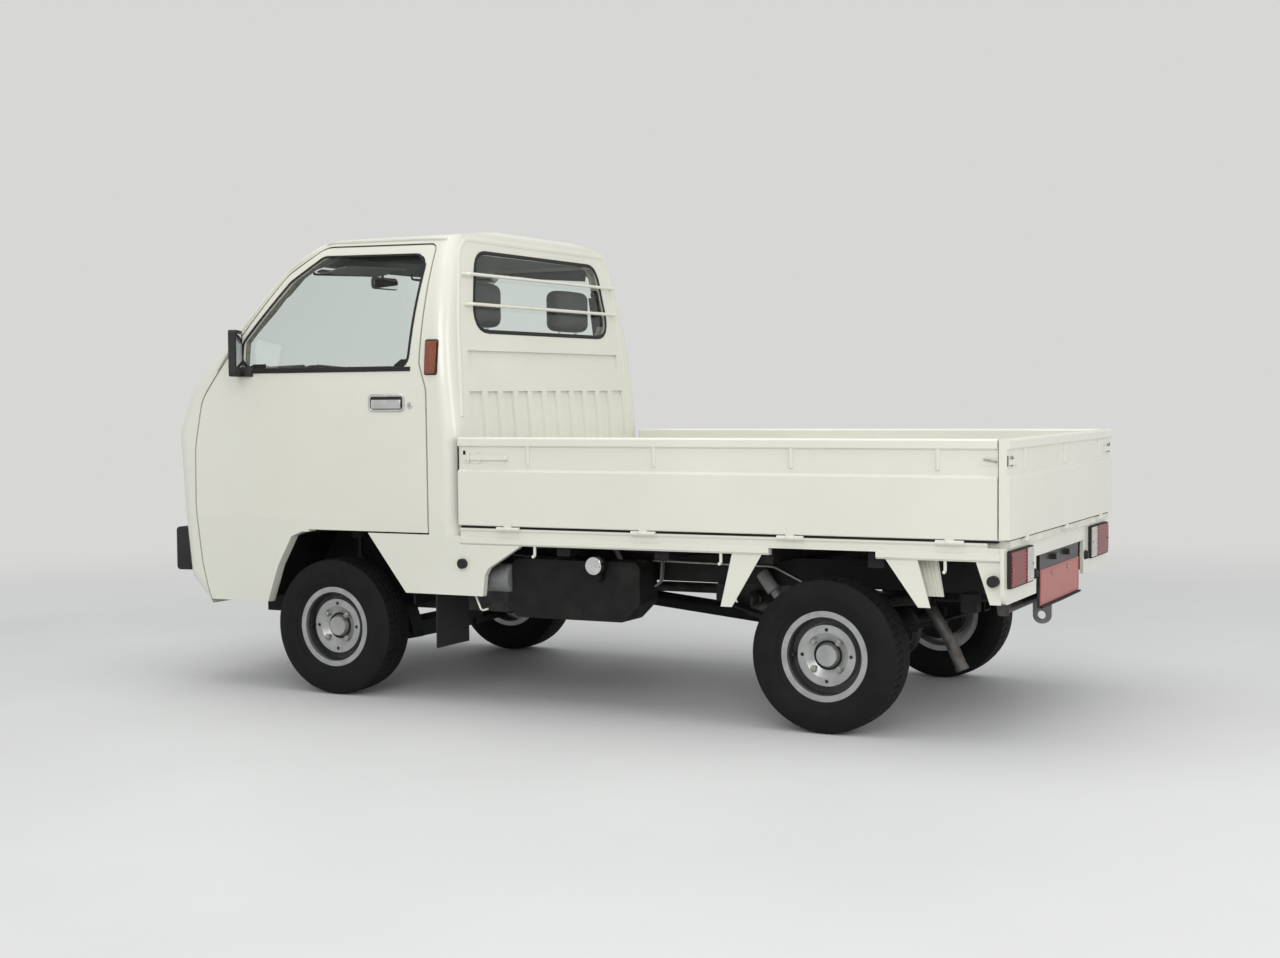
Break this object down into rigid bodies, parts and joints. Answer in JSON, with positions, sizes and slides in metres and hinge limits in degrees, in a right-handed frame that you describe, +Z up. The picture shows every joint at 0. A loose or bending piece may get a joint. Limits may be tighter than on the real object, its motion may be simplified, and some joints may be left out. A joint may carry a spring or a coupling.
{
  "type": "kei truck",
  "caption": "Small cab-over pickup truck with a drop-side load bed, a ribbed cab back, hinged doors and small steel wheels that steer and roll.",
  "frame": {"origin": "on the ground under the middle of the truck, half way between the bumper and the tailgate and on the centre plane", "axes": "+X forward, +Y to the truck's left, +Z up"},
  "size_m": [3.195, 1.6322, 1.6396],
  "materials": {
    "paint": "gloss warm white body paint",
    "cab_inside": "matt dark grey lining",
    "glass": "clear window glass",
    "lamp_lens": "clear fluted lens",
    "red_lens": "red lens with a clear part",
    "amber_lens": "amber lens",
    "black_trim": "grained black plastic",
    "bright_metal": "bright plated handle",
    "seat_cover": "dark grey vinyl",
    "frame_black": "black chassis paint",
    "engine_metal": "dull cast metal",
    "pipe_steel": "dull steel pipe",
    "plate_red": "blank red enamel plate in a black holder",
    "rubber": "black rubber",
    "tyre": "black tyre rubber",
    "wheel_silver": "bright silver wheel paint"
  },
  "bodies": {
    "truck": {"front_panel": "paint", "roof": "paint", "rear_wall": "paint", "cab_side_left": "paint", "cab_side_right": "paint", "bed_deck": "paint", "bed_sills": "paint", "arch_stays": "paint", "rear_panel": "paint", "window_guard": "paint", "cab_floor": "cab_inside", "wheelhouses": "cab_inside", "dashboard": "cab_inside", "cab_glass": "glass", "headlamps": "lamp_lens", "tail_lamps": "red_lens", "amber_lamps": "amber_lens", "front_bumper": "black_trim", "grille": "black_trim", "steering_wheel": "black_trim", "seat_left": "seat_cover", "seat_right": "seat_cover", "frame_rails": "frame_black", "deck_bearers": "frame_black", "cross_members": "frame_black", "front_suspension": "frame_black", "fuel_tank": "frame_black", "rear_axle": "frame_black", "rear_suspension": "frame_black", "engine": "engine_metal", "exhaust": "pipe_steel", "number_plate": "plate_red", "rubber_parts": "rubber", "spare_tyre": "tyre", "spare_rim": "wheel_silver"},
    "front_left_knuckle": {"knuckle_left": "frame_black"},
    "front_right_knuckle": {"knuckle_right": "frame_black"},
    "front_left_wheel": {"tyre_front_left": "tyre", "rim_front_left": "wheel_silver"},
    "front_right_wheel": {"tyre_front_right": "tyre", "rim_front_right": "wheel_silver"},
    "rear_left_wheel": {"tyre_rear_left": "tyre", "rim_rear_left": "wheel_silver"},
    "rear_right_wheel": {"tyre_rear_right": "tyre", "rim_rear_right": "wheel_silver"},
    "left_door": {"door_left": "paint", "door_glass_left": "glass", "door_handle_left": "bright_metal", "mirror_left": "black_trim"},
    "right_door": {"door_right": "paint", "door_glass_right": "glass", "door_handle_right": "bright_metal", "mirror_right": "black_trim"},
    "left_side_gate": {"gate_left": "paint"},
    "right_side_gate": {"gate_right": "paint"},
    "tail_gate": {"tailgate": "paint"}
  },
  "joints": [
    {"name": "steer_left", "type": "hinge", "parent": "truck", "child": "front_left_knuckle", "pos_m": [0.8375, 0.492, 0.24], "axis": [0, 0, 1], "range_deg": [-35, 35]},
    {"name": "steer_right", "type": "hinge", "parent": "truck", "child": "front_right_knuckle", "pos_m": [0.8375, -0.492, 0.24], "axis": [0, 0, 1], "range_deg": [-35, 35]},
    {"name": "roll_front_left", "type": "hinge", "parent": "front_left_knuckle", "child": "front_left_wheel", "pos_m": [0.8375, 0.6, 0.24], "axis": [0, 1, 0], "continuous": true},
    {"name": "roll_front_right", "type": "hinge", "parent": "front_right_knuckle", "child": "front_right_wheel", "pos_m": [0.8375, -0.6, 0.24], "axis": [0, 1, 0], "continuous": true},
    {"name": "roll_rear_left", "type": "hinge", "parent": "truck", "child": "rear_left_wheel", "pos_m": [-1.0025, 0.6, 0.24], "axis": [0, 1, 0], "continuous": true},
    {"name": "roll_rear_right", "type": "hinge", "parent": "truck", "child": "rear_right_wheel", "pos_m": [-1.0025, -0.6, 0.24], "axis": [0, 1, 0], "continuous": true},
    {"name": "door_left_swing", "type": "hinge", "parent": "truck", "child": "left_door", "pos_m": [1.4125, 0.6945, 0.9], "axis": [0, 0, -1], "range_deg": [0, 65]},
    {"name": "door_right_swing", "type": "hinge", "parent": "truck", "child": "right_door", "pos_m": [1.4125, -0.6945, 0.9], "axis": [0, 0, 1], "range_deg": [0, 65]},
    {"name": "gate_left_drop", "type": "hinge", "parent": "truck", "child": "left_side_gate", "pos_m": [-0.6325, 0.6975, 0.606], "axis": [-1, 0, 0], "range_deg": [0, 175]},
    {"name": "gate_right_drop", "type": "hinge", "parent": "truck", "child": "right_side_gate", "pos_m": [-0.6325, -0.6975, 0.606], "axis": [1, 0, 0], "range_deg": [0, 175]},
    {"name": "tailgate_drop", "type": "hinge", "parent": "truck", "child": "tail_gate", "pos_m": [-1.5905, 0, 0.606], "axis": [0, -1, 0], "range_deg": [0, 175]}
  ],
  "couplings": [
    {"joint": "steer_right", "follows": "steer_left", "ratio": 1}
  ]
}
